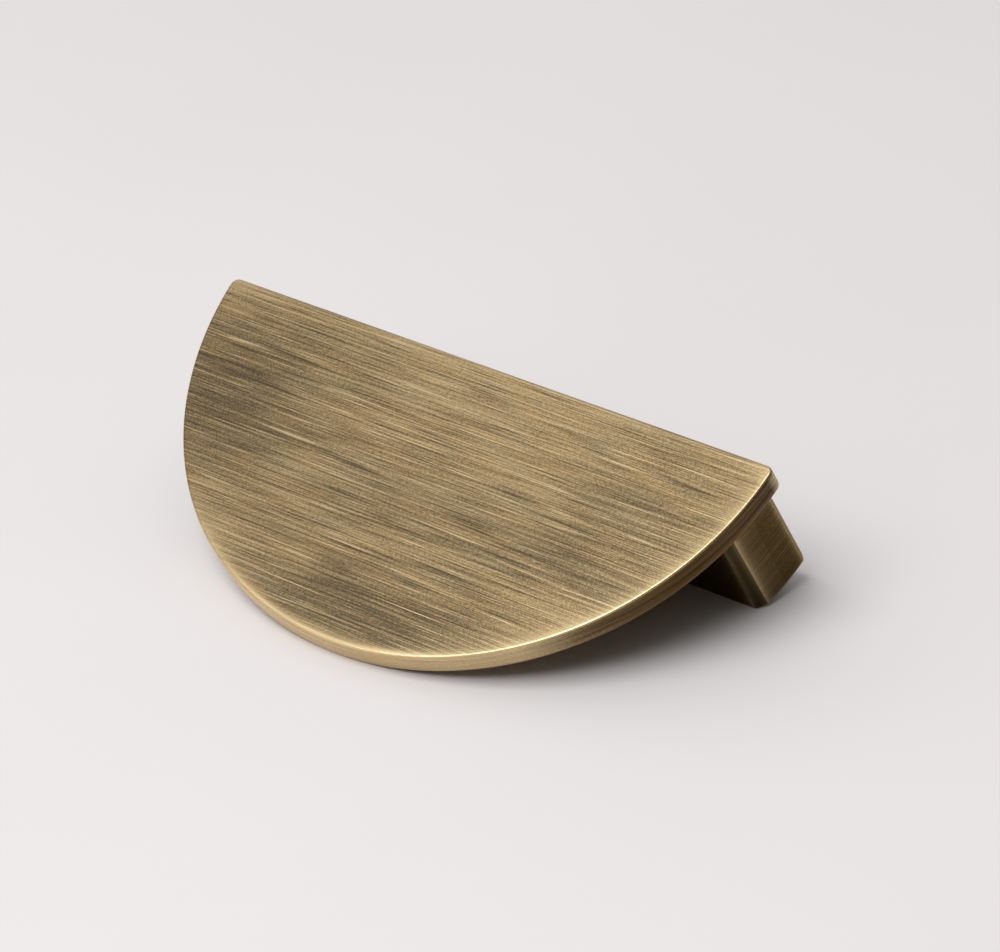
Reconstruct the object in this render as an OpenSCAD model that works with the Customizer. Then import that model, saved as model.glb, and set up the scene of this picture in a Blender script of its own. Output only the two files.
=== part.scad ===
// Half-moon cabinet pull in one piece of brushed brass: half of a sawn disc, which a bar
// along its straight edge holds off the door. Two screws come through the door into
// blind tapped holes in the bar.
//
// Millimetres. The origin is the centre of the bar's mounting face, in the plane of the
// door. +X runs along the straight edge, +Y from the round edge to the straight edge,
// and +Z out of the door.

/* [Plate] */
// Radius of the plate's round edge
plate_radius = 56; // [55:0.5:80]
// Thickness of the plate
plate_thickness = 4.5; // [3:0.25:8]
// Half the width of the saw cut, by which the straight edge falls short of the centre
saw_allowance = 1; // [0:0.25:2]
// Radius of the plate's two corners, seen from the front
corner_radius = 1.5; // [1.5:0.25:4]
// Rounding where the plate's edge meets its front and its back
rim_rounding = 0.5; // [0.2:0.05:0.7]

/* [Bar] */
// Distance from the door to the front of the plate
projection = 25.5; // [22:0.5:40]
// Depth of the bar, from the finger side to the straight side
bar_depth = 12; // [9:0.5:16]
// Step in from the plate's edge to the bar, at the straight edge and at both ends
reveal = 1.5; // [0.5:0.25:3]
// Width that the flat on each upright corner of the bar takes off the long wall
corner_flat = 1.1; // [0.5:0.1:2.5]
// Chamfer round the mounting face
foot_chamfer = 0.2; // [0.1:0.1:0.8]

/* [Screw holes] */
// Distance between the centres of the two holes
hole_spacing = 96; // [32:16:96]
// Diameter of each hole before tapping, 3.3 for an M4 thread
tapping_diameter = 3.3; // [2.5:0.1:4.2]
// Depth at which the straight wall of each hole ends
hole_depth = 13; // [8:0.5:15]
// Diameter of each hole's countersunk mouth
mouth_diameter = 4.7; // [4.4:0.1:5.6]
// Angle of the drill's point, which the bottom of each hole keeps
drill_point = 118; // [90:1:140]

/* [Hidden] */
$fn = 96;
// How far a cutter or a buried piece runs on past the face where it would stop
overlap = 1;
// Height of the plate's back above the door
plate_back = projection - plate_thickness;
// The straight edge, and the centre of the round edge, along Y
straight_edge_y = bar_depth / 2 + reveal;
arc_centre_y = straight_edge_y + saw_allowance;
// Radius of the bar's ends, which follow the plate's round edge
end_radius = plate_radius - reveal;
// How far in from the plate's edges the centre of a corner's rounding lies, as a share of
// its radius. Just under 1, so that the rounding crosses both edges and leaves no sliver.
corner_share = 0.99;
corner_inset = corner_share * corner_radius;
corner_centre_y = straight_edge_y - corner_inset;
corner_centre_x = sqrt(
    pow(plate_radius - corner_inset, 2) - pow(arc_centre_y - corner_centre_y, 2)
);

// Half the length of the bar at a given distance along Y, before its corners come off
function bar_end_x(y) = sqrt(pow(end_radius, 2) - pow(arc_centre_y - y, 2));

// Distance from the origin to the flat that takes off the corner at the given wall
function flat_distance(wall_y) = (bar_end_x(wall_y) + abs(wall_y) - corner_flat) / sqrt(2);

// The outline of one upright wall of the bar, from its foot up into the plate
function wall_outline(reach) = [
    [reach - foot_chamfer, 0],
    [reach, foot_chamfer],
    [reach, plate_back + overlap],
];

// The same outline on the other side of the bar, from the plate down to the foot
function far_wall_outline(reach) = [
    for (i = [2:-1:0]) [-wall_outline(reach)[i].x, wall_outline(reach)[i].y]
];

// Section of the plate from x = 0 out to its edge, which is rounded front and back
module plate_section(reach) {
    inner = reach - rim_rounding;
    square([inner, plate_thickness]);
    translate([0, rim_rounding])
        square([reach, plate_thickness - 2 * rim_rounding]);
    for (level = [rim_rounding, plate_thickness - rim_rounding])
        translate([inner, level])
            circle(r = rim_rounding);
}

// What comes off outside the rounding of the right corner
module corner_waste() {
    block = 2 * corner_radius;
    translate([corner_centre_x, corner_centre_y, 0])
        difference() {
            translate([0, 0, -overlap])
                cube([block, block, plate_thickness + 2 * overlap]);
            rotate_extrude()
                plate_section(corner_radius);
        }
}

// A turned disc, sawn along the straight edge and rounded at the two corners
module plate() {
    translate([0, 0, plate_back])
        difference() {
            intersection() {
                translate([0, arc_centre_y, 0])
                    rotate_extrude()
                        plate_section(plate_radius);
                translate([0, straight_edge_y - 2 * plate_radius, 0])
                    rotate([90, 0, 90])
                        linear_extrude(2 * plate_radius + 2 * overlap, center = true)
                            plate_section(2 * plate_radius);
            }
            for (side = [0, 1])
                mirror([side, 0, 0])
                    corner_waste();
        }
}

// A long block between two upright walls, at the given distances from the origin
module walled_block(turn, low, high) {
    rotate([90, 0, 90 + turn])
        linear_extrude(3 * plate_radius, center = true)
            polygon(concat(wall_outline(high), far_wall_outline(low)));
}

// The bar, with ends that follow the plate's round edge and a flat on each corner
module bar() {
    front_flat = flat_distance(-bar_depth / 2);
    rear_flat = flat_distance(bar_depth / 2);
    intersection() {
        walled_block(0, bar_depth / 2, bar_depth / 2);
        walled_block(45, front_flat, rear_flat);
        walled_block(-45, front_flat, rear_flat);
        translate([0, arc_centre_y, 0])
            rotate_extrude()
                polygon(concat(
                    [[0, plate_back + overlap], [0, 0]],
                    wall_outline(end_radius)
                ));
    }
}

// The countersunk mouth, the straight wall and the pointed bottom of one hole
module screw_hole() {
    wall = tapping_diameter / 2;
    mouth = mouth_diameter / 2;
    point_depth = wall / tan(drill_point / 2);
    rotate_extrude()
        polygon([
            [0, -overlap],
            [mouth + overlap, -overlap],
            [wall, mouth - wall],
            [wall, hole_depth],
            [0, hole_depth + point_depth],
        ]);
}

module pull() {
    color("#8f7d58")
        difference() {
            union() {
                plate();
                bar();
            }
            for (side = [-1, 1])
                translate([side * hole_spacing / 2, 0, 0])
                    screw_hole();
        }
}

pull();
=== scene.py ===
"""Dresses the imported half-moon cabinet pull in brushed antique brass, and sets its stage.

Metres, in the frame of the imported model: the mounting face lies in z = 0, X runs along the
straight edge, and the plate's front faces +Z.
"""

import math
from functools import reduce

import bmesh
import bpy
from bpy.props import FloatProperty, FloatVectorProperty, IntProperty, PointerProperty
from mathutils import Euler, Matrix, Vector


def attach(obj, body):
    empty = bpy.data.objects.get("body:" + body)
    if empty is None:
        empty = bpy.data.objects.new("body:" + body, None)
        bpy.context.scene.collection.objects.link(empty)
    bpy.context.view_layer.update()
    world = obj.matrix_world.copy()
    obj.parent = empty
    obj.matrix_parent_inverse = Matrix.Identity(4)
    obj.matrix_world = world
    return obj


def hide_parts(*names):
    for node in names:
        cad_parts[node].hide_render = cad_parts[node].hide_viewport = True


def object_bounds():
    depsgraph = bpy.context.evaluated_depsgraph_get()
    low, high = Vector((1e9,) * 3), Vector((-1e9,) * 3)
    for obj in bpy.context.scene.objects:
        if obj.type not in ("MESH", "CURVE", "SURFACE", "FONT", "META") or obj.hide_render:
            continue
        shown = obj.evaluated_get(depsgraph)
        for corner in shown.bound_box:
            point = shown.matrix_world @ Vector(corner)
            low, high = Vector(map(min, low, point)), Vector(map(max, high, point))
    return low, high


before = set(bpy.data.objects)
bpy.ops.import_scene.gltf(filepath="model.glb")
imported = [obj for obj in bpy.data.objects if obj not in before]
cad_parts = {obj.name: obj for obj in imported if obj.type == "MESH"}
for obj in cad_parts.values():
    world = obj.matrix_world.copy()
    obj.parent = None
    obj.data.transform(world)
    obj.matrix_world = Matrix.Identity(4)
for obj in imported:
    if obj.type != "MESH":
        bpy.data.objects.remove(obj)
CAD_LOW, CAD_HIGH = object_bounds()

bl_info = {
    "name": "Half-moon cabinet pull",
    "version": (1, 0, 0),
    "blender": (4, 5, 0),
    "location": "3D View > Sidebar > Cabinet pull",
    "description": "A half-moon cabinet pull in brushed antique brass, on a pale stage",
    "category": "Add Mesh",
}

MILLIMETRE = 0.001
UP = Vector((0, 0, 1))

# The mesh is drawn in millimetres. Longest piece of a curved outline, fewest pieces of an
# arc, and the distance within which points are one or lie on a cutting plane.
ARC_STEP = 0.5
FEWEST_STEPS = 6
MERGE = 0.001
ON_PLANE = MERGE / 10
# Pieces in the rounding of the plate's rims and of the bar's upright edges
RIM_SEGMENTS = 6
EDGE_SEGMENTS = 3
# Turn at which a point or an edge of the bar is a corner, distance from a corner within
# which its outline drops other points, and distance within which its points are joined
CORNER_TURN = math.radians(20)
CROWD = 0.3
SLIVER = 0.02
# Edges that turn by more than this stay crisp
CRISP = math.radians(35)

# The thread over one pitch: a flat crest, a flank, a narrow root and a flank. Each point
# has 0 for the inner or 1 for the outer diameter, and a share of the pitch.
THREAD_PROFILE = ((0, 0), (0, 0.25), (1, 0.5625), (1, 0.6875), (0, 1))
# Turns that the thread starts before the mounting face, and turns beyond its depth that
# it has in all. What lies outside the hole is cut off.
THREAD_LEAD = 2
THREAD_SPARE = 3
# How much deeper the mouth's cone meets the thread than at a slope of 45 degrees
MOUTH_EXTRA = 0.1
DRILL_POINT = math.radians(118)

# Places in the list of materials: 0 is the plate's front and edge, CUT the tapped holes,
# and the next the bar and the back of the plate: darker brass, which also paints shade under
# it
CUT, DARK_AND_SHADED = 1, 2
# The map along the brush strokes, and where the part of each side starts across them, in
# millimetres, far enough apart that no two sides show the same strokes
BRUSHING = "brushing"
MAP_START = {
    "front": 0,
    "back": 150,
    "hole": 300,
    "round edge": 400,
    "straight side": 500,
    "finger side": 600,
    "end": 700,
    "flat": 800,
}
# Radius at which the map goes round a hole
HOLE_RADIUS = 1.8
# How much of a face's normal has to point along an axis: for the front and back, for the
# plate's straight edge, for the bar's walls and ends, and for the darker back, which paints
# shade under the plate
FACES_Z = 0.72
FACES_REAR = 0.7
FACES_WALL = 0.93
FACES_BACK = 0.9

# Layers of brush strokes: weight, width and length as multiples of the finest stroke's,
# and seed
STROKE_LAYERS = {
    "Hairlines": ((1.1, 0.75, 0.8, 3.37), (0.9, 1.2, 1.4, 17.71)),
    "Strokes": ((1.0, 4.1, 1.3, 29.13), (0.8, 8.3, 4.0, 41.57)),
    "Bands": ((1.0, 18.0, 4.5, 53.29),),
    "Specks": ((1.0, 1.0, 0.018, 67.83),),
    "Tint": ((0.7, 2.7, 0.7, 83.31), (0.8, 19.0, 0.7, 91.13)),
}
# How far the map leans along the strokes, which keeps their ends from lining up
SLANT = 2.3
# Share of each layer in the grain
GRAIN = (("Hairlines", 1.1), ("Strokes", 0.1), ("Bands", 0.1), ("Specks", 1.5))
# Tints of single strokes
WARM = (1, 0.93, 0.8)
COOL = (0.93, 1, 1)
# Clouds of darker (below 0) or barer patina on the plate: middle, half length and half
# width in millimetres, and strength
PATINA_CLOUDS = (
    (-44, -12, 16, 17, -0.48),
    (8, -41, 26, 8, -0.5),
    (14, -22, 28, 9, -0.18),
    (42, -14, 20, 13, -0.26),
    (-52, 8, 13, 6, 0.35),
    (46, 6, 10, 5, -0.2),
)
# How far the clouds' outlines wander in all, in millimetres, the scale and seed of the
# waves that bend them along X and Y, and the scale and strength of the looser clouds
WANDER = 8.0
WAVES = (("X", 0.07, 53), ("Y", 0.11, 91))
LOOSE_SCALE = 0.04
LOOSE_STRENGTH = 0.4

# How far below its front the plate's side begins, in millimetres
LIP = 0.25
# Wear and painted light along the plate: two distances from its middle, in millimetres, and
# the strength at each. The first runs out to the right only, and the others both ways.
FADES = {
    "right end": (42, 54, 1.0, 0.7),
    "wide": (12, 32, 0.0, 0.47),
    "painted_rim_line": (14, 26, 0.8, 0.0),
    "lip": (16, 40, 1.0, 0.05),
    "belly": (24, 40, 0.7, 0.42),
    "corner": (53, 55, 0.0, 0.9),
}

# Radius of the floor in metres, its pieces, and how far below the pull it lies, in
# millimetres
FLOOR_RADIUS = 4
FLOOR_SEGMENTS = 96
FLOOR_GAP = 0.02
# The pull's tilt is found by halving the range from 0 to this, this many times
STEEPEST_TILT = math.radians(60)
HALVINGS = 50
# Cosines of the angle to the sky's bright side at which it is dimmest and brightest
SKY_FADE = (-0.5, 0.9)
# The camera's sensor in millimetres, and how near and far it sees, in metres
SENSOR_WIDTH = 36
NEAR, FAR = 0.01, 20


def length(name, description, millimetres):
    """A length that a user may change, given in millimetres and kept in metres."""
    return FloatProperty(
        name=name,
        description=description,
        default=millimetres * MILLIMETRE,
        min=0,
        precision=5,
        unit="LENGTH",
    )


def colour(name, description, rgb):
    """A colour that a user may change."""
    return FloatVectorProperty(
        name=name,
        description=description,
        default=rgb,
        min=0,
        max=1,
        size=3,
        subtype="COLOR",
    )


def share(name, description, value):
    """A plain number from 0 to 1 that a user may change."""
    return FloatProperty(
        name=name, description=description, default=value, min=0, max=1, subtype="FACTOR"
    )


class PullSizes(bpy.types.PropertyGroup):
    """Sizes of the plate, the bar and the tapped holes."""

    saw_allowance: length("Saw allowance", "From the straight edge to the arc's centre", 1)
    plate_thickness: length("Plate thickness", "Thickness of the plate", 4.5)
    corner_radius: length("Corner radius", "Radius of the plate's two corners", 1.5)
    rim_rounding: length("Rim rounding", "Rounding of the plate's edge, front and back", 0.5)
    reveal: length("Reveal", "Step in from the plate's edge to the bar", 1.5)
    corner_flat: length("Corner flat", "Width that a flat takes off the bar's long wall", 1.1)
    foot_chamfer: length("Foot chamfer", "Chamfer round the mounting face", 0.2)
    edge_softness: length("Edge softness", "Rounding left on the bar's upright edges", 0.16)
    hole_spacing: length("Hole spacing", "Distance between the tapped holes", 96)
    hole_depth: length("Hole depth", "Depth of each hole's straight wall", 13)
    mouth_diameter: length("Mouth diameter", "Diameter of each countersunk mouth", 4.7)
    thread_diameter: length("Thread diameter", "Outer diameter of the thread", 4)
    tapping_diameter: length("Tapping diameter", "Inner diameter of the thread", 3.3)
    thread_pitch: length("Thread pitch", "Rise of the thread in one turn", 0.7)
    thread_depth: length("Thread depth", "Depth that the tap reached", 11.5)
    turn_steps: IntProperty(
        name="Thread steps", description="Steps in one turn of the thread", default=48, min=12
    )


class Drawing:
    """Every size in millimetres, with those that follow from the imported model."""

    def __init__(self, sizes):
        for name in type(sizes).__annotations__:
            setattr(self, name, getattr(sizes, name) / MILLIMETRE)
        # This one is a count
        self.turn_steps = sizes.turn_steps
        self.front = CAD_HIGH.z / MILLIMETRE
        self.back = self.front - self.plate_thickness
        self.straight_edge = CAD_HIGH.y / MILLIMETRE
        self.arc_centre = self.straight_edge + self.saw_allowance
        self.plate_radius = self.arc_centre - CAD_LOW.y / MILLIMETRE
        self.bar_wall = self.straight_edge - self.reveal
        self.end_radius = self.plate_radius - self.reveal
        # How far from the z axis the flats at the front (-1) and rear (1) wall lie
        self.flats = {}
        for side in (-1, 1):
            drop = self.arc_centre - side * self.bar_wall
            run = math.sqrt(self.end_radius**2 - drop**2)
            self.flats[side] = (run + self.bar_wall - self.corner_flat) / math.sqrt(2)


class BrassFinish(bpy.types.PropertyGroup):
    """Colours and grain of the antique brass."""

    bare: colour("Bare brass", "Brass that the brushing bared", (0.672, 0.504, 0.296))
    aged: colour("Aged brass", "Brass between the strokes", (0.322, 0.232, 0.121))
    dark: colour("Patina", "The darkened skin left in the strokes", (0.095, 0.074, 0.05))
    deep: colour("Deep patina", "The skin where few strokes reached", (0.125, 0.067, 0.013))
    # Colour of the shade painted on the flats, in the recess and along the round edge's ends
    painted_shade: colour("Painted shade", "Shade painted in corners, on flats and along the round edge's ends", (0.015, 0.009, 0.005))
    # Polished brass, also used as painted light on the rims and the side's middle
    polished_and_lit: colour("Polished and lit edge", "Polished brass, also painted as light on rims and belly", (0.82, 0.63, 0.35))
    roughness: share("Roughness", "Roughness of the brushed face", 0.36)
    stroke_width: length("Stroke width", "Width of the finest brush strokes", 0.2)
    stroke_length: length("Stroke length", "Length of the brush strokes", 11)
    # This width also sets how far the painted highlights and painted shade reach
    wear_width: length("Wear width", "How far the bright wear runs in from an edge", 0.95)


class StageLook(bpy.types.PropertyGroup):
    """The floor, the light and the camera."""

    floor_colour: colour("Floor", "Colour of the floor", (0.815, 0.79, 0.795))
    sky_colour: colour("Sky", "Colour of the light all round", (1, 0.985, 0.97))
    sky_strength: FloatProperty(
        name="Sky strength",
        description="Strength of the bright side of the sky",
        default=0.77,
        min=0,
    )
    sky_dim: FloatProperty(
        name="Sky's dim side",
        description="Strength of the dim side of the sky",
        default=0.0,
        min=0,
    )
    sky_side: FloatVectorProperty(
        name="Sky's bright side",
        description="Direction of the brightest sky: right, back and up from the floor",
        default=(-0.8, 0.1, 0.45),
        subtype="DIRECTION",
    )
    lamp_power: FloatProperty(
        name="Lamp power",
        description="Power of the large lamp",
        default=12.3,
        min=0,
        unit="POWER",
    )
    lamp_width: length("Lamp width", "Side of the large lamp", 900)
    lamp_place: FloatVectorProperty(
        name="Lamp place",
        description="Where the lamp hangs: right, back and up from the middle of the floor",
        default=(-0.13, -0.64, 1.13),
        subtype="TRANSLATION",
        unit="LENGTH",
    )
    camera_place: FloatVectorProperty(
        name="Camera place",
        description="Where the camera stands",
        default=(0.447067, -0.275557, 0.66161),
        subtype="TRANSLATION",
        unit="LENGTH",
    )
    camera_turn: FloatVectorProperty(
        name="Camera turn",
        description="How the camera is turned",
        default=(0.597538, 0.33542, 0.57215),
        subtype="EULER",
    )
    camera_lens: FloatProperty(
        name="Lens",
        description="Focal length in millimetres, on a 36 mm sensor",
        default=181.05,
        min=1,
    )


class CabinetPull(bpy.types.PropertyGroup):
    """Everything that the panel shows."""

    sizes: PointerProperty(type=PullSizes)
    finish: PointerProperty(type=BrassFinish)
    stage: PointerProperty(type=StageLook)


def spin(bm, geometry, centre, angle, steps, rise=0.0):
    """Spins geometry about an upright axis, rising in all by the given amount."""
    return bmesh.ops.spin(
        bm,
        geom=geometry,
        cent=centre,
        axis=UP,
        angle=angle,
        steps=steps,
        dvec=UP * (rise / steps),
    )["geom_last"]


def curve_steps(radius, angle):
    """How many short steps make an arc smooth."""
    return max(FEWEST_STEPS, math.ceil(radius * angle / ARC_STEP))


def loop_edges(edges):
    """The edges that only one face uses."""
    return [e for e in edges if len(e.link_faces) < 2]


def level_edges(bm, level):
    """The edges that lie at one height."""
    return [e for e in bm.edges if all(abs(v.co.z - level) < MERGE for v in e.verts)]


def face_at(bm, level):
    """The widest face that lies at one height."""
    flat = [f for f in bm.faces if all(abs(v.co.z - level) < MERGE for v in f.verts)]
    return max(flat, key=lambda f: f.calc_area())


def verts_of(geometry):
    """The vertices among what an operator gives back."""
    return [g for g in geometry if isinstance(g, bmesh.types.BMVert)]


def extrude_up(bm, faces, height):
    """Extrudes faces straight up, or down where the height is below zero."""
    made = bmesh.ops.extrude_face_region(bm, geom=faces)["geom"]
    bmesh.ops.translate(bm, vec=UP * height, verts=verts_of(made))


def cut_off(bm, point, normal):
    """Cuts off all that lies past a plane, on the side to which its normal points."""
    bmesh.ops.bisect_plane(
        bm,
        geom=bm.verts[:] + bm.edges[:] + bm.faces[:],
        dist=ON_PLANE,
        plane_co=point,
        plane_no=normal,
        clear_outer=True,
    )


def bevel(bm, edges, width, segments):
    """Rounds edges, or chamfers them where there is one segment."""
    bmesh.ops.bevel(
        bm,
        geom=edges,
        offset=width,
        offset_type="OFFSET",
        segments=segments,
        profile=0.5,
        affect="EDGES",
        clamp_overlap=True,
        material=-1,
    )


def append(bm, other, move=(0, 0, 0)):
    """Adds a moved copy of another bmesh to this one."""
    mesh = bpy.data.meshes.new("part")
    other.to_mesh(mesh)
    mesh.transform(Matrix.Translation(move))
    bm.from_mesh(mesh)
    bpy.data.meshes.remove(mesh)


def make_plate(d):
    """The half disc, rounded all along its edge."""
    bm = bmesh.new()
    corner_y = d.straight_edge - d.corner_radius
    drop = d.arc_centre - corner_y
    corner_x = math.sqrt((d.plate_radius - d.corner_radius) ** 2 - drop**2)
    arc_centre = Vector((0, d.arc_centre, d.back))
    corner = Vector((corner_x, corner_y, d.back))
    reach = math.atan2(corner_x, drop)

    # Half of the outline: along the round edge, round the corner, along the straight edge
    belly = bm.verts.new(arc_centre - Vector((0, d.plate_radius, 0)))
    last = spin(bm, [belly], arc_centre, reach, curve_steps(d.plate_radius, reach))
    rest = math.pi - reach
    last = spin(bm, last, corner, rest, curve_steps(d.corner_radius, 2 * rest))
    middle = bmesh.ops.extrude_vert_indiv(bm, verts=last)["verts"]
    middle[0].co.x = 0
    bmesh.ops.mirror(bm, geom=bm.verts[:] + bm.edges[:], axis="X", merge_dist=MERGE)
    bmesh.ops.remove_doubles(bm, verts=bm.verts[:], dist=MERGE)

    outline = bmesh.ops.contextual_create(bm, geom=bm.edges[:])["faces"]
    extrude_up(bm, outline, d.plate_thickness)
    rims = level_edges(bm, d.back) + level_edges(bm, d.front)
    bevel(bm, rims, d.rim_rounding, RIM_SEGMENTS)
    return bm


def make_bar(d):
    """The bar, open where it meets the plate."""
    bm = bmesh.new()
    # Eight equal parts, so that the steps lie the same on every side
    bmesh.ops.create_circle(
        bm,
        cap_ends=True,
        radius=d.end_radius,
        segments=8 * round(math.tau * d.end_radius / ARC_STEP / 8),
        matrix=Matrix.Translation((0, d.arc_centre, d.back)),
    )
    for side in (-1, 1):
        cuts = [(Vector((0, side, 0)), d.bar_wall)]
        for turn in (-1, 1):
            cuts.append((Vector((turn, side, 0)).normalized(), d.flats[side]))
        for normal, distance in cuts:
            cut_off(bm, normal * distance, normal)
    # Steps of the curved ends that crowd a corner would pinch its rounding
    corners = [v for v in bm.verts if v.calc_edge_angle() > CORNER_TURN]
    crowd = [
        v
        for v in bm.verts
        if v not in corners and any((v.co - c.co).length < CROWD for c in corners)
    ]
    bmesh.ops.dissolve_verts(bm, verts=crowd)
    extrude_up(bm, bm.faces[:], -d.back)
    upright = [
        e
        for e in bm.edges
        if abs(e.verts[0].co.z - e.verts[1].co.z) > MERGE
        and len(e.link_faces) == 2
        and e.calc_face_angle() > CORNER_TURN
    ]
    bevel(bm, upright, d.edge_softness, EDGE_SEGMENTS)
    bevel(bm, level_edges(bm, 0), d.foot_chamfer, 1)
    bmesh.ops.remove_doubles(bm, verts=bm.verts[:], dist=SLIVER)
    bmesh.ops.delete(bm, geom=[face_at(bm, d.back)], context="FACES_ONLY")
    return bm


def make_hole(d):
    """A tapped hole about the z axis: countersunk mouth, thread, drilled end."""
    bm = bmesh.new()
    inner, outer = d.tapping_diameter / 2, d.thread_diameter / 2
    pitch = d.thread_pitch
    mouth_top = d.mouth_diameter / 2 - outer + MOUTH_EXTRA
    points = [
        bm.verts.new(((inner, outer)[out], 0, (rise - THREAD_LEAD) * pitch))
        for out, rise in THREAD_PROFILE
    ]
    edges = [bm.edges.new(pair) for pair in zip(points, points[1:])]
    turns = math.ceil(d.thread_depth / pitch) + THREAD_SPARE
    spin(
        bm,
        points + edges,
        (0, 0, 0),
        math.tau * turns,
        d.turn_steps * turns,
        rise=pitch * turns,
    )
    bmesh.ops.remove_doubles(bm, verts=bm.verts[:], dist=MERGE)
    cut_off(bm, UP * mouth_top, -UP)
    cut_off(bm, UP * d.thread_depth, UP)
    # The mouth below the thread, and the run-out above it, which is half a pitch high
    for level, radius, cut in (
        (0, d.mouth_diameter / 2, mouth_top),
        (d.thread_depth + 0.5 * pitch, inner, d.thread_depth),
    ):
        cut_loop = loop_edges(level_edges(bm, cut))
        ring = bmesh.ops.create_circle(
            bm,
            radius=radius,
            segments=d.turn_steps,
            matrix=Matrix.Translation((0, 0, level)),
        )["verts"]
        ring_edges = list({e for v in ring for e in v.link_edges})
        bmesh.ops.bridge_loops(bm, edges=cut_loop + ring_edges)
    # From the last ring, the plain wall and the drill's point
    wall = bmesh.ops.extrude_edge_only(bm, edges=ring_edges)["geom"]
    for v in verts_of(wall):
        v.co.z = d.hole_depth
    rim_edges = [g for g in wall if isinstance(g, bmesh.types.BMEdge)]
    tip = bmesh.ops.extrude_edge_only(bm, edges=rim_edges)["geom"]
    depth = d.hole_depth + inner / math.tan(DRILL_POINT / 2)
    bmesh.ops.pointmerge(bm, verts=verts_of(tip), merge_co=UP * depth)
    for face in bm.faces:
        face.material_index = CUT
    return bm


def open_face(bm, level):
    """Fills the widest face at one height again, with room for the open rims in it."""
    bmesh.ops.delete(bm, geom=[face_at(bm, level)], context="FACES_ONLY")
    edges = loop_edges(level_edges(bm, level))
    bmesh.ops.triangle_fill(bm, use_beauty=True, edges=edges, normal=UP)


def make_pull(d):
    """The plate, the bar and both holes as one closed skin."""
    bar = make_bar(d)
    hole = make_hole(d)
    for side in (-1, 1):
        append(bar, hole, (side * d.hole_spacing / 2, 0, 0))
    open_face(bar, 0)
    pull = make_plate(d)
    append(pull, bar)
    open_face(pull, d.back)
    hole.free()
    bar.free()
    bmesh.ops.remove_doubles(pull, verts=pull.verts[:], dist=MERGE)
    bmesh.ops.recalc_face_normals(pull, faces=pull.faces[:])
    return pull


def lay_brushing(bm, d):
    """Maps each face in millimetres, with U along the strokes of the brush."""
    layer = bm.loops.layers.uv.new(BRUSHING)
    for face in bm.faces:
        normal, centre = face.normal, face.calc_center_median()
        on_plate = centre.z > d.back - MERGE
        in_hole = face.material_index == CUT
        # The bar and the plate's back take the darker brass, which also paints shade under
        # the plate
        if not in_hole and (not on_plate or normal.z < -FACES_BACK):
            face.material_index = DARK_AND_SHADED
        for loop in face.loops:
            x, y, z = loop.vert.co
            if in_hole:
                side = math.copysign(d.hole_spacing / 2, centre.x)
                around = math.atan2(y, x - side)
                middle = math.atan2(centre.y, centre.x - side)
                around += math.tau * round((middle - around) / math.tau)
                along, across = HOLE_RADIUS * around, z + MAP_START["hole"]
            elif abs(normal.z) > FACES_Z:
                along, across = x, y + MAP_START["front" if normal.z > 0 else "back"]
            elif on_plate and normal.y < FACES_REAR:
                turn = math.atan2(x, d.arc_centre - y)
                along, across = d.plate_radius * turn, z + MAP_START["round edge"]
            elif on_plate or abs(normal.y) > FACES_WALL:
                wall = "straight side" if normal.y > 0 else "finger side"
                along, across = x, z + MAP_START[wall]
            elif abs(normal.x) > FACES_WALL:
                along, across = y, z + MAP_START["end"]
            else:
                along, across = z, y + MAP_START["flat"]
            loop[layer].uv = (along, across)


class Graph:
    """Adds nodes to a material, a world or a group, and links them."""

    def __init__(self, tree):
        self.tree = tree

    def add(self, kind, settings=None, **inputs):
        """A node of one kind, with its settings and its sockets set or linked."""
        node = self.tree.nodes.new(kind)
        for name, value in (settings or {}).items():
            setattr(node, name, value)
        for name, value in inputs.items():
            self.put(node.inputs[name.replace("_", " ")], value)
        return node

    def put(self, socket, value):
        """Links a socket to a node's output, or gives it a plain value."""
        if isinstance(value, bpy.types.NodeSocket):
            self.tree.links.new(value, socket)
        elif socket.type == "RGBA" and len(value) == 3:
            socket.default_value = (*value, 1)
        else:
            socket.default_value = value

    def math(self, operation, *values, clamp=False):
        """The result of one Math node."""
        node = self.add("ShaderNodeMath", {"operation": operation, "use_clamp": clamp})
        for socket, value in zip(node.inputs, values):
            self.put(socket, value)
        return node.outputs[0]

    def total(self, *values):
        """The sum of several values."""
        return reduce(lambda first, second: self.math("ADD", first, second), values)

    def product(self, *values):
        """Several values multiplied."""
        return reduce(lambda first, second: self.math("MULTIPLY", first, second), values)

    def vector(self, operation, *values):
        """The outputs of one Vector Math node."""
        node = self.add("ShaderNodeVectorMath", {"operation": operation})
        for socket, value in zip(node.inputs, values):
            self.put(socket, value)
        return node.outputs

    def millimetres(self, place):
        """A place that is given in metres, in millimetres."""
        settings = {"operation": "SCALE"}
        node = self.add("ShaderNodeVectorMath", settings, Vector=place, Scale=1 / MILLIMETRE)
        return node.outputs[0]

    def spread(self, value, low, high, to_low=0.0, to_high=1.0):
        """Stretches low to high over to_low to to_high, and holds it there."""
        node = self.add("ShaderNodeMapRange", Value=value)
        for name, number in (
            ("From Min", low),
            ("From Max", high),
            ("To Min", to_low),
            ("To Max", to_high),
        ):
            self.put(node.inputs[name], number)
        return node.outputs[0]

    def mix(self, factor, first, second, blend="MIX"):
        """One colour over another."""
        node = self.add("ShaderNodeMix", {"data_type": "RGBA", "blend_type": blend})
        self.put(node.inputs["Factor"], factor)
        colours = [socket for socket in node.inputs if socket.type == "RGBA"]
        for socket, value in zip(colours, (first, second)):
            self.put(socket, value)
        return next(socket for socket in node.outputs if socket.type == "RGBA")

    def noise(self, vector, scale, detail=2.0):
        """The value of a noise pattern."""
        node = self.add("ShaderNodeTexNoise", Vector=vector, Scale=scale, Detail=detail)
        return node.outputs["Fac"]


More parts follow.
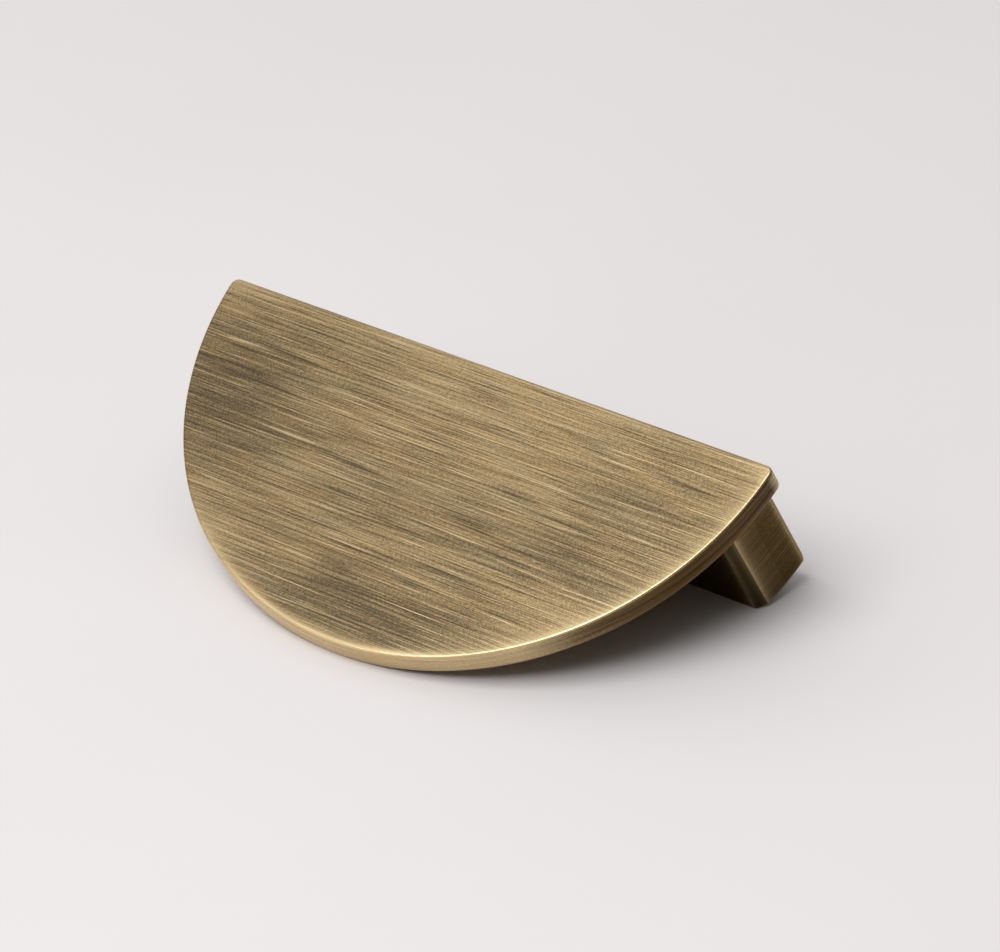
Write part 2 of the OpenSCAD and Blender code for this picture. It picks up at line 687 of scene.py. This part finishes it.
def new_group(name, inputs, outputs):
    """An empty node group with named sockets, and its graph, inputs and outputs."""
    tree = bpy.data.node_groups.new(name, "ShaderNodeTree")
    for socket, kind, value in inputs:
        made = tree.interface.new_socket(socket, in_out="INPUT", socket_type=kind)
        if value is not None:
            made.default_value = value
    for socket in outputs:
        tree.interface.new_socket(socket, in_out="OUTPUT", socket_type="NodeSocketFloat")
    graph = Graph(tree)
    given = graph.add("NodeGroupInput").outputs
    return tree, graph, given, graph.add("NodeGroupOutput").inputs


def strokes_group():
    """Brush strokes: noises drawn out along U, from fine hairlines to broad bands."""
    tree, graph, given, results = new_group(
        "Brush strokes",
        [
            ("Vector", "NodeSocketVector", None),
            ("Width", "NodeSocketFloat", 0.2),
            ("Length", "NodeSocketFloat", 12.0),
        ],
        list(STROKE_LAYERS),
    )
    uvw = graph.add("ShaderNodeSeparateXYZ", Vector=given["Vector"]).outputs

    def layer(wider, longer, seed):
        """One width of stroke."""
        leaning = graph.math("MULTIPLY_ADD", uvw["Y"], SLANT, uvw["X"])
        along = graph.math("DIVIDE", leaning, graph.product(given["Length"], longer))
        across = graph.math("DIVIDE", uvw["Y"], graph.product(given["Width"], wider))
        drawn = graph.add("ShaderNodeCombineXYZ", X=along, Y=across, Z=seed)
        return graph.noise(drawn.outputs[0], 1.0, detail=0.0)

    for name, layers in STROKE_LAYERS.items():
        # The weighted sum of the layers, about zero
        parts = [
            graph.math("MULTIPLY_ADD", layer(*shape), weight, -0.5 * weight)
            for weight, *shape in layers
        ]
        value = graph.total(*parts)
        if name == "Hairlines":
            # The strongest hairlines stand out, and the rest are calm
            stress = graph.math("MULTIPLY_ADD", graph.product(value, value), 3.5, 0.8)
            value = graph.product(value, stress)
        graph.put(results[name], value)
    return tree


def patina_group():
    """Broad soft clouds of patina: how much less or more the brush bared there."""
    tree, graph, given, results = new_group(
        "Patina clouds", [("Vector", "NodeSocketVector", None)], ["Cloud"]
    )
    place = graph.millimetres(given["Vector"])
    bend = graph.add("ShaderNodeCombineXYZ")
    for socket, scale, seed in WAVES:
        wave = graph.noise(graph.vector("ADD", place, (0, 0, seed))[0], scale)
        wave = graph.math("MULTIPLY_ADD", wave, WANDER, -WANDER / 2)
        graph.put(bend.inputs[socket], wave)
    bent = graph.vector("ADD", place, bend.outputs[0])[0]
    clouds = []
    for x, y, half_length, half_width, amount in PATINA_CLOUDS:
        spot = graph.vector("SUBTRACT", bent, (x, y, 0))[0]
        spot = graph.vector("MULTIPLY", spot, (1 / half_length, 1 / half_width, 0))[0]
        square = graph.vector("DOT_PRODUCT", spot, spot)["Value"]
        fall = graph.math("EXPONENT", graph.product(square, -1.0))
        clouds.append(graph.product(fall, amount))
    loose = graph.noise(place, LOOSE_SCALE, detail=1.0)
    clouds.append(graph.math("MULTIPLY_ADD", loose, LOOSE_STRENGTH, -LOOSE_STRENGTH / 2))
    graph.put(results["Cloud"], graph.total(*clouds))
    return tree


def wear_and_light_group(d):
    """Where the pull is worn, and where light and shade are painted on it, each from 0 to 1.

    Rim is the wear along the plate's rims with painted highlights and glints, Band a band
    along its straight edge, and Bar the wear along the bar's edges with a painted reflection
    beside the front flat. Side is the whole edge of the plate. The other outputs are painted
    light
    and shade: light on the middle of the side, shade on the ends of its round edge and a
    darkest line along those, and shade where the bar meets the plate and on the bar's flats."""
    tree, graph, given, results = new_group(
        "Painted light and edge wear",
        [("Width", "NodeSocketFloat", 1.0)],
        ["Rim", "Band", "Bar", "Painted corner shade", "Side", "Lit belly", "Shaded tips", "Shade line", "Painted flat shade"],
    )
    place = graph.millimetres(graph.add("ShaderNodeTexCoord").outputs["Object"])
    xyz = graph.add("ShaderNodeSeparateXYZ", Vector=place).outputs
    x, y, z = xyz["X"], xyz["Y"], xyz["Z"]
    along, across = graph.math("ABSOLUTE", x), graph.math("ABSOLUTE", y)
    drop = graph.math("SUBTRACT", y, d.arc_centre)
    square = graph.total(graph.product(x, x), graph.product(drop, drop))
    radius = graph.math("SQRT", square)

    def near(distance, times=1.0):
        """Falls from 1 at no distance, over some times the group's width."""
        distance = graph.math("MAXIMUM", distance, 0.0)
        scaled = graph.math("DIVIDE", distance, given["Width"])
        return graph.math("EXPONENT", graph.product(scaled, -1.0 / times))

    def from_level(value, level, sign):
        """Distance below (-1) or above (1) a level."""
        return graph.math("MULTIPLY_ADD", value, float(sign), -sign * level)

    to_round = from_level(radius, d.plate_radius, -1)
    to_straight = from_level(y, d.straight_edge, -1)
    to_front = from_level(z, d.front, -1)
    to_back = from_level(z, d.back, 1)
    on_bar = graph.math("LESS_THAN", z, d.back - 2 * MERGE)
    on_plate = graph.math("SUBTRACT", 1.0, on_bar)
    below_lip = graph.math("GREATER_THAN", to_front, LIP)
    front = graph.math("SUBTRACT", 1.0, below_lip)
    side = graph.product(below_lip, on_plate)
    graph.put(results["Side"], side)
    graph.put(results["Band"], near(to_straight, 3.5))

    # Hands polish the round edge, which also carries painted highlights. Both are left off
    # its left and weakened at its right end.
    polish = graph.spread(x, -0.72 * d.plate_radius, -0.5 * d.plate_radius, 0.0, 0.9)
    polish = graph.product(polish, graph.spread(x, *FADES["right end"]))
    # Away from the middle the wear on the front reaches further in. At the middle a painted
    # highlight line lies just inside the rim.
    wide = graph.product(near(to_round, 1.7), graph.spread(along, *FADES["wide"]))
    painted_rim_line = near(graph.math("SUBTRACT", to_round, 0.65), 0.4)
    wide = graph.math("MULTIPLY_ADD", painted_rim_line, graph.spread(along, *FADES["painted_rim_line"]), wide)
    rim = graph.math("MULTIPLY_ADD", near(to_round, 0.8), 0.9, wide)
    rim = graph.math("MULTIPLY_ADD", near(to_straight), 0.3, graph.product(rim, polish))
    # On the side a painted highlight follows the lip, which fades away from the middle, and a
    # painted glint follows the back rim
    below = near(graph.math("SUBTRACT", to_front, LIP), 0.4)
    below = graph.product(below, graph.spread(along, *FADES["lip"]))
    below = graph.math("MULTIPLY_ADD", near(to_back, 0.3), 0.4, below)
    below = graph.product(below, polish, side)
    graph.put(results["Rim"], graph.math("MULTIPLY_ADD", rim, front, below, clamp=True))

    # The painted shade on the ends of the round edge gives way near the straight edge
    beyond = graph.spread(along, 0.58 * d.plate_radius, 0.9 * d.plate_radius)
    short = graph.spread(y, d.straight_edge - 3, d.straight_edge - 1, 1.0, 0.45)
    shaded_tips = graph.product(beyond, short, side)
    graph.put(results["Shaded tips"], shaded_tips)
    # A painted dark line runs along the side within the shaded ends
    off_shade_line = graph.math("SUBTRACT", to_front, 0.36 * d.plate_thickness)
    off_shade_line = graph.math("ABSOLUTE", off_shade_line)
    inner, outer = 0.25 * d.plate_thickness, 0.45 * d.plate_thickness
    shade_line = graph.spread(off_shade_line, inner, outer, 1.0, 0.0)
    graph.put(results["Shade line"], graph.product(shade_line, shaded_tips))
    # Painted light on the plate's side, strongest at its middle and near its corners
    belly = graph.spread(along, *FADES["belly"])
    belly = graph.math("MAXIMUM", belly, graph.spread(along, *FADES["corner"]))
    belly = graph.product(belly, side)
    graph.put(results["Lit belly"], graph.math("SUBTRACT", belly, shaded_tips, clamp=True))

    # Distance in from the flats, which lie further out at the rear
    rear = graph.math("GREATER_THAN", y, 0.0)
    flat_at = graph.math("MULTIPLY_ADD", rear, d.flats[1] - d.flats[-1], d.flats[-1])
    diagonal = graph.product(graph.total(across, along), 1 / math.sqrt(2))
    to_flat = graph.math("SUBTRACT", flat_at, diagonal)
    in_flat = graph.math("LESS_THAN", to_flat, 0.06)
    # The sum is over 1 only where two faces of the bar meet
    bar = graph.total(
        near(from_level(across, d.bar_wall, -1), 0.3),
        near(from_level(radius, d.end_radius, -1), 0.3),
        near(to_flat, 0.3),
        near(z, 0.2),
    )
    bar = graph.product(graph.math("SUBTRACT", bar, 1.0, clamp=True), on_bar)
    # Weaker wear on the flats, which adds to their painted shade
    bar = graph.product(bar, graph.math("MULTIPLY_ADD", in_flat, -0.65, 1.0))
    # At the front, a painted reflection lies on the wall beside the flat
    off_flat = graph.math("SUBTRACT", on_bar, in_flat, clamp=True)
    painted_wall_light = graph.math("SUBTRACT", off_flat, rear, clamp=True)
    painted_wall_light = graph.product(near(to_flat, 1.4), painted_wall_light)
    bar = graph.math("MULTIPLY_ADD", painted_wall_light, 0.25, bar, clamp=True)
    graph.put(results["Bar"], bar)
    # Where the bar's flats get painted shade
    graph.put(results["Painted flat shade"], graph.product(in_flat, on_bar))

    # Painted shade in the corner between them, on the plate's back and on the bar
    past_wall = from_level(across, d.bar_wall, 1)
    past_end = from_level(radius, d.end_radius, 1)
    beside = graph.math("MAXIMUM", past_wall, past_end)
    under = graph.product(near(beside, 2.0), graph.math("LESS_THAN", to_back, 0.01))
    below = graph.product(near(graph.product(to_back, -1.0), 1.5), on_bar)
    graph.put(results["Painted corner shade"], graph.math("MAXIMUM", under, below))
    return tree


def brass_material(name, finish, groups, skin, grazing, grain_pull):
    """Brushed brass under a patina, with painted highlights and painted shade.

    The skin is the share of deep patina, grazing the tint of what it mirrors at a low
    angle, and the grain's pull how far the strokes draw its highlights out."""
    material = bpy.data.materials.new(name)
    material.use_nodes = True
    tree = material.node_tree
    tree.nodes.clear()
    graph = Graph(tree)
    strokes_tree, wear_and_light_tree, patina_tree = groups
    shader = graph.add("ShaderNodeBsdfPrincipled")
    output = graph.add("ShaderNodeOutputMaterial")
    tree.links.new(shader.outputs[0], output.inputs[0])

    mapped = graph.add("ShaderNodeUVMap", {"uv_map": BRUSHING}).outputs[0]
    strokes = graph.add("ShaderNodeGroup", {"node_tree": strokes_tree}, Vector=mapped)
    strokes.inputs["Width"].default_value = finish.stroke_width / MILLIMETRE
    strokes.inputs["Length"].default_value = finish.stroke_length / MILLIMETRE
    wear = graph.add("ShaderNodeGroup", {"node_tree": wear_and_light_tree})
    wear.inputs["Width"].default_value = finish.wear_width / MILLIMETRE
    place = graph.add("ShaderNodeTexCoord").outputs["Object"]

    grain = [graph.product(strokes.outputs[layer], weight) for layer, weight in GRAIN]
    grain = graph.total(*grain)
    patina = graph.add("ShaderNodeGroup", {"node_tree": patina_tree}, Vector=place)
    # How far the brush cut through the patina; less on the ends of the round edge, which
    # paints shade there
    relief = graph.total(grain, patina.outputs["Cloud"])
    for part, weight in (("Side", 0.3), ("Band", 0.16), ("Shaded tips", -0.6)):
        relief = graph.math("MULTIPLY_ADD", wear.outputs[part], weight, relief)
    relief = graph.math("MULTIPLY_ADD", relief, 0.75, 0.5, clamp=True)

    ramp = graph.add("ShaderNodeValToRGB", Fac=relief)
    stops = ramp.color_ramp.elements
    stops[0].position, stops[0].color = 0.0, (*finish.dark, 1)
    stops[1].position, stops[1].color = 1.0, (*finish.bare, 1)
    middle = stops.new(0.5)
    middle.color = (*finish.aged, 1)
    tint = graph.spread(strokes.outputs["Tint"], -0.25, 0.25)
    tone = graph.mix(0.5, ramp.outputs[0], graph.mix(tint, WARM, COOL), "MULTIPLY")

    # Deep patina, thickest between the strokes, and on the ends of the round edge as painted
    # shade
    held = graph.spread(relief, 0.2, 0.8, 1.25 * skin, 0.75 * skin)
    held = graph.math("MULTIPLY_ADD", wear.outputs["Shaded tips"], 0.95, held, clamp=True)
    tone = graph.mix(held, tone, finish.deep)
    # Painted shade on the flats, in the recess and, in streaks, along the ends
    painted_darkening = graph.product(wear.outputs["Painted flat shade"], 0.95)
    painted_darkening = graph.math("MAXIMUM", graph.product(wear.outputs["Painted corner shade"], 0.75), painted_darkening)
    streaks = graph.spread(strokes.outputs["Strokes"], -0.25, 0.25, 0.85, 0.15)
    painted_darkening = graph.math("MAXIMUM", graph.product(wear.outputs["Shade line"], streaks), painted_darkening)
    tone = graph.mix(painted_darkening, tone, finish.painted_shade)
    # Wear and painted light, which leave some patina in the deepest strokes
    edge = graph.product(wear.outputs["Bar"], 0.6)
    edge = graph.math("MAXIMUM", wear.outputs["Rim"], edge)
    edge = graph.math("MAXIMUM", edge, wear.outputs["Lit belly"])
    edge = graph.product(edge, graph.spread(relief, 0.1, 0.9, 0.75, 1.0))
    tone = graph.mix(edge, tone, finish.polished_and_lit)
    graph.put(shader.inputs["Base Color"], tone)

    shader.inputs["Metallic"].default_value = 1.0
    # Bared brass is smoother than patina
    rough = graph.math("MULTIPLY_ADD", relief, -0.2, finish.roughness + 0.1)
    graph.put(shader.inputs["Roughness"], rough)
    shader.inputs["Specular Tint"].default_value = (*grazing, 1)
    # A quarter turn draws the highlights out across the strokes
    shader.inputs["Anisotropic"].default_value = grain_pull
    shader.inputs["Anisotropic Rotation"].default_value = 0.25
    settings = {"direction_type": "UV_MAP", "uv_map": BRUSHING}
    tangent = graph.add("ShaderNodeTangent", settings)
    graph.put(shader.inputs["Tangent"], tangent.outputs[0])
    bump = graph.add("ShaderNodeBump", Strength=0.25, Height=grain)
    bump.inputs["Distance"].default_value = 0.02 * MILLIMETRE
    graph.put(shader.inputs["Normal"], bump.outputs[0])
    return material


class BuildPull(bpy.types.Operator):
    """Builds the half-moon plate with its bar and tapped holes"""

    bl_idname = "cabinet_pull.build_pull"
    bl_label = "Half-moon pull"
    bl_options = {"REGISTER", "UNDO"}

    def execute(self, context):
        settings = context.scene.cabinet_pull
        d = Drawing(settings.sizes)
        bm = make_pull(d)
        if any(len(e.link_faces) != 2 for e in bm.edges):
            raise RuntimeError("the pull's skin isn't closed: check its sizes")
        lay_brushing(bm, d)
        for edge in bm.edges:
            edge.smooth = edge.calc_face_angle() < CRISP
        for face in bm.faces:
            face.smooth = True
        mesh = bpy.data.meshes.new("half_moon_pull")
        bmesh.ops.scale(bm, vec=Vector((1, 1, 1)) * MILLIMETRE, verts=bm.verts[:])
        bm.to_mesh(mesh)
        bm.free()
        groups = strokes_group(), wear_and_light_group(d), patina_group()
        for name, skin, grazing, grain_pull in (
            ("Antique brass", 0.0, (1, 1, 1), 0.6),
            ("Cut brass", 0.0, (1, 1, 1), 0.2),
            # Deeper patina on the bar and the back, which also paints shade under the plate
            ("Dark brass with painted shade", 0.5, (0.9, 0.74, 0.5), 0.6),
        ):
            mesh.materials.append(
                brass_material(name, settings.finish, groups, skin, grazing, grain_pull)
            )
        pull = bpy.data.objects.new("half_moon_pull", mesh)
        context.scene.collection.objects.link(pull)
        normals = pull.modifiers.new("Flat faces stay flat", "WEIGHTED_NORMAL")
        normals.keep_sharp = True
        # 50 is even, and 100 leaves it to the largest face
        normals.weight = 100
        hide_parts("pull")
        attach(pull, "root")
        return {"FINISHED"}


def floor_frame(d):
    """Where the pull lies: on the round edge's back rim and on the bar's front foot.

    Gives the floor's upward normal and its height along that normal, in millimetres."""
    rim = Vector((d.arc_centre - d.plate_radius + d.rim_rounding, d.back + d.rim_rounding))
    feet = Vector((-d.bar_wall, d.foot_chamfer)), Vector((d.foot_chamfer - d.bar_wall, 0))
    low, high = 0.0, STEEPEST_TILT
    for _ in range(HALVINGS):
        tilt = (low + high) / 2
        up = Vector((math.sin(tilt), math.cos(tilt)))
        foot = min(up.dot(f) for f in feet)
        if up.dot(rim) - d.rim_rounding > foot:
            low = tilt
        else:
            high = tilt
    return Vector((0, *up)), foot


class BuildStage(bpy.types.Operator):
    """Builds the floor that the pull lies on, the light and the camera"""

    bl_idname = "cabinet_pull.build_stage"
    bl_label = "Stage"
    bl_options = {"REGISTER", "UNDO"}

    def execute(self, context):
        scene = context.scene
        look = scene.cabinet_pull.stage
        up, height = floor_frame(Drawing(scene.cabinet_pull.sizes))
        turn = UP.rotation_difference(up).to_matrix().to_4x4()
        floor_matrix = Matrix.Translation(up * (height - FLOOR_GAP) * MILLIMETRE) @ turn

        bm = bmesh.new()
        bmesh.ops.create_circle(
            bm,
            cap_ends=True,
            radius=FLOOR_RADIUS,
            segments=FLOOR_SEGMENTS,
            matrix=floor_matrix,
        )
        mesh = bpy.data.meshes.new("floor")
        bm.to_mesh(mesh)
        bm.free()
        floor = bpy.data.objects.new("floor", mesh)
        scene.collection.objects.link(floor)
        mesh.materials.append(floor_material(look))

        scene.world = sky(look, turn.to_3x3() @ Vector(look.sky_side))
        self.lamp(scene, look, floor_matrix @ Vector(look.lamp_place))

        camera = bpy.data.cameras.new("camera")
        camera.sensor_width = SENSOR_WIDTH
        camera.lens = look.camera_lens
        camera.clip_start, camera.clip_end = NEAR, FAR
        seat = bpy.data.objects.new("camera", camera)
        facing = Euler(look.camera_turn).to_matrix().to_4x4()
        seat.matrix_world = Matrix.Translation(look.camera_place) @ facing
        scene.collection.objects.link(seat)
        scene.camera = seat
        scene.view_settings.view_transform = "Standard"
        return {"FINISHED"}

    def lamp(self, scene, look, spot):
        """A large soft lamp that faces the pull."""
        light = bpy.data.lights.new("large lamp", "AREA")
        light.shape = "SQUARE"
        light.size = look.lamp_width
        light.energy = look.lamp_power
        seat = bpy.data.objects.new("large lamp", light)
        aim = (-spot).to_track_quat("-Z", "Y")
        seat.matrix_world = Matrix.Translation(spot) @ aim.to_matrix().to_4x4()
        scene.collection.objects.link(seat)


def floor_material(look):
    """Pale matt floor, clear from below so that it hides nothing."""
    material = bpy.data.materials.new("Pale floor")
    material.use_nodes = True
    tree = material.node_tree
    tree.nodes.clear()
    graph = Graph(tree)
    place = graph.add("ShaderNodeTexCoord").outputs["Object"]
    # Barely uneven, in patches of some centimetres
    mottle = graph.spread(graph.noise(place, 14.0), 0.3, 0.7, 0.985, 1.0)
    tone = graph.mix(1.0, look.floor_colour, mottle, blend="MULTIPLY")
    matt = graph.add("ShaderNodeBsdfDiffuse", Color=tone).outputs[0]
    clear = graph.add("ShaderNodeBsdfTransparent").outputs[0]
    behind = graph.add("ShaderNodeNewGeometry").outputs["Backfacing"]
    mixed = graph.add("ShaderNodeMixShader", Fac=behind)
    tree.links.new(matt, mixed.inputs[1])
    tree.links.new(clear, mixed.inputs[2])
    tree.links.new(mixed.outputs[0], graph.add("ShaderNodeOutputMaterial").inputs[0])
    return material


def sky(look, bright_side):
    """Soft light that fades from the bright side of the sky to its dim side."""
    world = bpy.data.worlds.new("Studio")
    world.use_nodes = True
    tree = world.node_tree
    tree.nodes.clear()
    graph = Graph(tree)
    toward = graph.add("ShaderNodeTexCoord").outputs["Generated"]
    facing = graph.vector("DOT_PRODUCT", toward, bright_side.normalized())["Value"]
    strength = graph.spread(facing, *SKY_FADE, look.sky_dim, look.sky_strength)
    light = graph.add("ShaderNodeBackground", Color=look.sky_colour, Strength=strength)
    tree.links.new(light.outputs[0], graph.add("ShaderNodeOutputWorld").inputs[0])
    return world


class PullPanel(bpy.types.Panel):
    """Sizes, colours and builders of the cabinet pull"""

    bl_idname = "VIEW3D_PT_cabinet_pull"
    bl_label = "Cabinet pull"
    bl_space_type = "VIEW_3D"
    bl_region_type = "UI"
    bl_category = "Cabinet pull"

    def draw(self, context):
        settings = context.scene.cabinet_pull
        for group, operator in (
            (settings.sizes, None),
            (settings.finish, BuildPull),
            (settings.stage, BuildStage),
        ):
            box = self.layout.box()
            for name in type(group).__annotations__:
                box.prop(group, name)
            if operator:
                box.operator(operator.bl_idname)


CLASSES = (
    PullSizes,
    BrassFinish,
    StageLook,
    CabinetPull,
    BuildPull,
    BuildStage,
    PullPanel,
)


def register():
    for cls in CLASSES:
        bpy.utils.register_class(cls)
    bpy.types.Scene.cabinet_pull = PointerProperty(type=CabinetPull)


def unregister():
    del bpy.types.Scene.cabinet_pull
    for cls in reversed(CLASSES):
        bpy.utils.unregister_class(cls)


def main():
    register()
    bpy.ops.cabinet_pull.build_pull()
    bpy.ops.cabinet_pull.build_stage()


if __name__ == "__main__":
    main()
